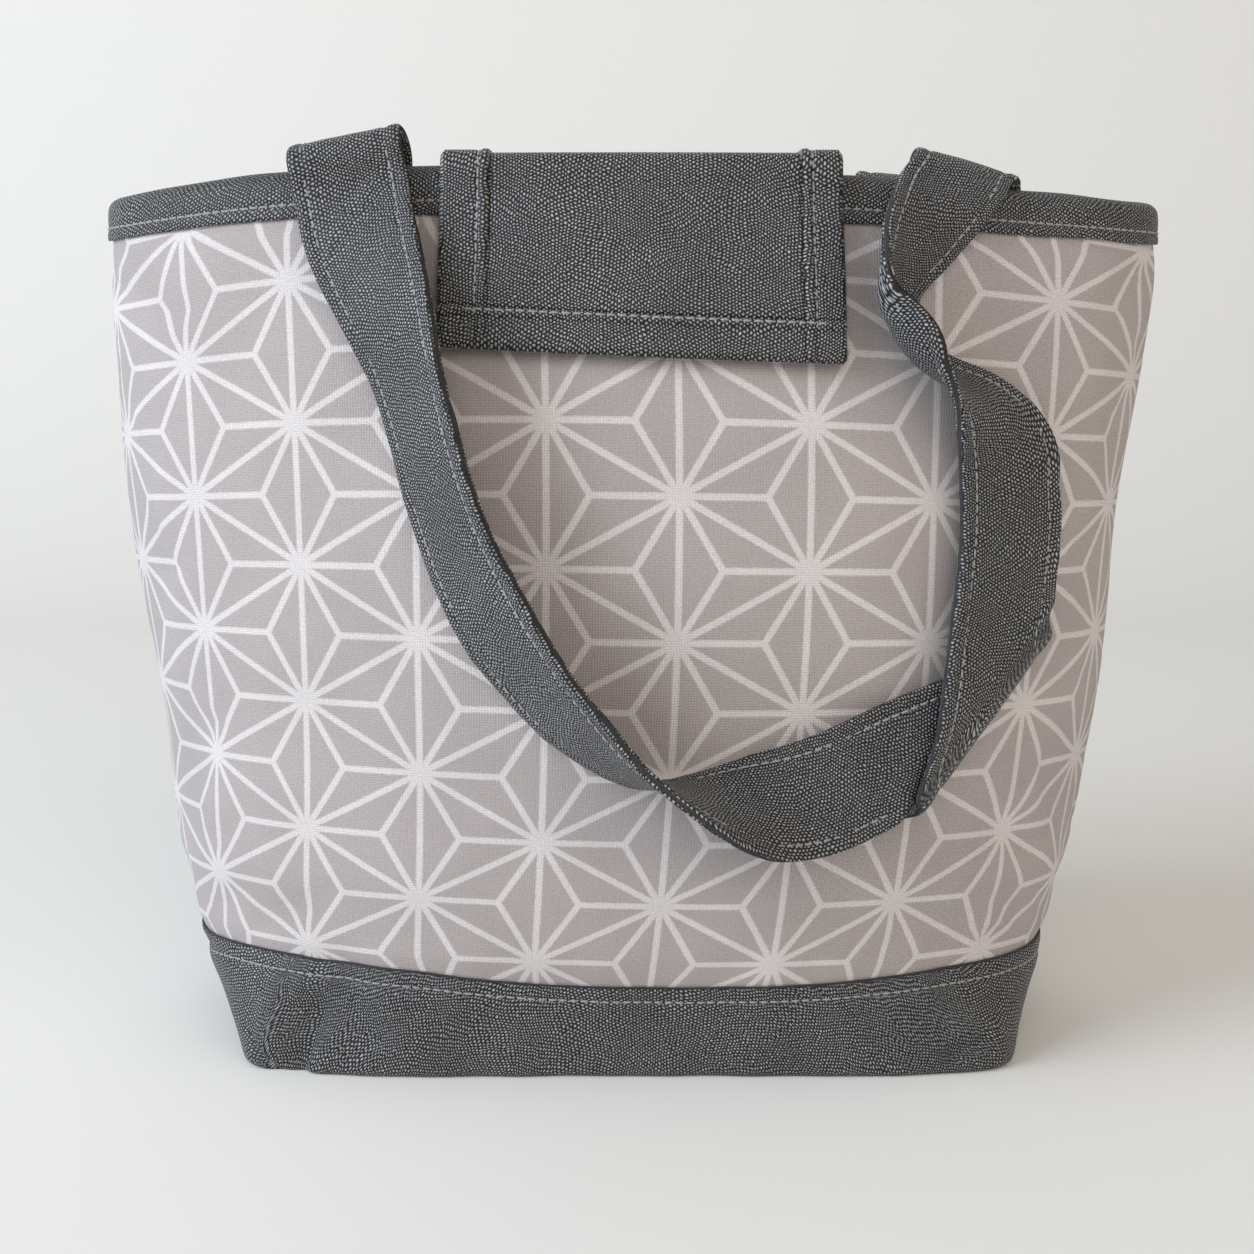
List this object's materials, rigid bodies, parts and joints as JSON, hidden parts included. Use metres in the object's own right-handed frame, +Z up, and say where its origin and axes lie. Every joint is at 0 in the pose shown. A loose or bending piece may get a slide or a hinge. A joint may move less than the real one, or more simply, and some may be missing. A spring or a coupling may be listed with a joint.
{
  "type": "lunch bag",
  "caption": "Insulated tapered lunch tote with a patterned fabric body, canvas base band and rim binding, fold-over closing flap and two carrying handles.",
  "frame": {"origin": "middle of the bag's flat underside, on the surface that it stands on", "axes": "+Z up, front of the bag towards -Y, +X along the width, to the right of a person who looks at the front"},
  "size_m": [0.31, 0.1982, 0.2681],
  "materials": {
    "canvas": "coarse plain weave, matt",
    "print": "fine plain weave with a pale printed star lattice",
    "foam": "closed-cell padding",
    "lining": "silver-grey film, satin",
    "board": "stiff sheet, matt",
    "closure": "hook and loop pile"
  },
  "bodies": {
    "bag_body": {"base_cover": "canvas", "base_board": "board", "base_foam": "foam", "base_lining": "lining", "front_panel": "print", "front_foam": "foam", "front_lining": "lining", "back_panel": "print", "back_foam": "foam", "back_lining": "lining", "left_seam_tape": "canvas", "right_seam_tape": "canvas", "rim_binding": "canvas", "flap_root": "canvas", "loop_patch": "closure", "front_handle_left_end": "canvas", "front_handle_right_end": "canvas", "back_handle_left_end": "canvas", "back_handle_right_end": "canvas"},
    "flap": {"flap_bridge": "canvas"},
    "tongue": {"flap_tongue": "canvas", "hook_patch": "closure"},
    "front_handle": {"front_handle": "canvas"},
    "back_handle": {"back_handle": "canvas"}
  },
  "joints": [
    {"name": "flap_lift", "type": "hinge", "parent": "bag_body", "child": "flap", "pos_m": [0, 0.054, 0.2589], "axis": [-1, 0, 0], "range_deg": [0, 250]},
    {"name": "tongue_peel", "type": "hinge", "parent": "flap", "child": "tongue", "pos_m": [0, -0.053, 0.2589], "axis": [-1, 0, 0], "range_deg": [0, 90]},
    {"name": "front_handle_swing", "type": "hinge", "parent": "bag_body", "child": "front_handle", "pos_m": [0, -0.033, 0.264], "axis": [-1, 0, 0], "range_deg": [0, 160]},
    {"name": "back_handle_swing", "type": "hinge", "parent": "bag_body", "child": "back_handle", "pos_m": [0, 0.033, 0.258], "axis": [1, 0, 0], "range_deg": [0, 160]}
  ]
}
